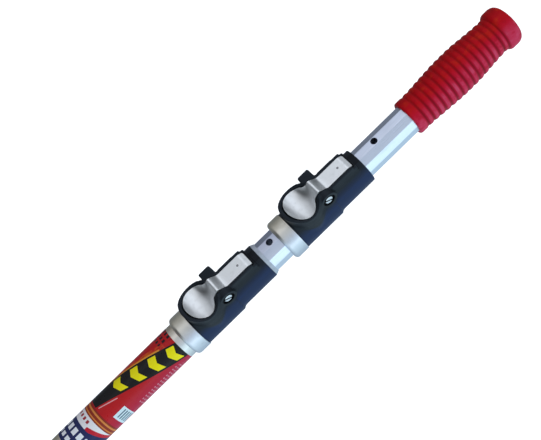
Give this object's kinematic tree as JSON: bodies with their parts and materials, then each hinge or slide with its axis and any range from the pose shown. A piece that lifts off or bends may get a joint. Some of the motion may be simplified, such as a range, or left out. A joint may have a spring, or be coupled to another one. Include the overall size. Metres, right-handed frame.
{
  "type": "roller extension pole",
  "caption": "Telescoping pole for a paint roller: ribbed hand grip, facetted tubes that slide in a round tube, thumb-lever pin locks and a threaded tip.",
  "frame": {"origin": "centre of the shoulder face behind the tip thread, on the pole's centre line", "axes": "+X along the pole from the tip to the hand grip, +Z the side with the lock levers"},
  "size_m": [1.92, 0.0388, 0.0492],
  "materials": {
    "tube_metal": "bright drawn aluminium",
    "grip_vinyl": "soft ribbed red vinyl",
    "plug_plastic": "natural nylon",
    "label_film": "printed glossy film with plain stripes and arrows",
    "tip_metal": "die-cast stud",
    "ferrule_plastic": "black moulded nylon",
    "rivet_metal": "bright rivet",
    "lock_plastic": "black moulded nylon with a slight sheen",
    "collar_metal": "satin aluminium",
    "bush_plastic": "light grey nylon",
    "bolt_metal": "bright plated steel",
    "spring_steel": "spring wire",
    "lever_metal": "satin bright metal",
    "pin_steel": "hardened steel"
  },
  "bodies": {
    "outer_section": {"outer_tube": "tube_metal", "label_sleeve": "label_film", "threaded_tip": "tip_metal", "tip_ferrule": "ferrule_plastic", "tip_rivets": "rivet_metal", "lower_lock_housing": "lock_plastic", "lower_lock_collar": "collar_metal", "lower_lock_bush": "bush_plastic", "lower_lock_rivets": "rivet_metal", "lower_pivot_bolt": "bolt_metal", "lower_pivot_nut": "bolt_metal", "lower_lever_spring": "spring_steel"},
    "lower_lever_body": {"lower_lever": "lever_metal", "lower_lock_pin": "pin_steel"},
    "middle_section": {"middle_tube": "tube_metal", "middle_glide": "plug_plastic", "upper_lock_housing": "lock_plastic", "upper_lock_collar": "collar_metal", "upper_lock_bush": "bush_plastic", "upper_lock_rivets": "rivet_metal", "upper_pivot_bolt": "bolt_metal", "upper_pivot_nut": "bolt_metal", "upper_lever_spring": "spring_steel"},
    "upper_lever_body": {"upper_lever": "lever_metal", "upper_lock_pin": "pin_steel"},
    "handle_section": {"handle_tube": "tube_metal", "hand_grip": "grip_vinyl", "handle_end_plug": "plug_plastic", "handle_glide": "plug_plastic"}
  },
  "joints": [
    {"name": "middle_slide", "type": "slide", "parent": "outer_section", "child": "middle_section", "axis": [1, 0, 0], "range_m": [0, 1.3716]},
    {"name": "handle_slide", "type": "slide", "parent": "middle_section", "child": "handle_section", "axis": [1, 0, 0], "range_m": [-0.0385, 1.3716]},
    {"name": "lower_lever_hinge", "type": "hinge", "parent": "outer_section", "child": "lower_lever_body", "pos_m": [1.561, 0, 0.02], "axis": [0, -1, 0], "range_deg": [-2.7, 5]},
    {"name": "upper_lever_hinge", "type": "hinge", "parent": "middle_section", "child": "upper_lever_body", "pos_m": [1.6755, 0, 0.02], "axis": [0, -1, 0], "range_deg": [-2.7, 5]}
  ]
}
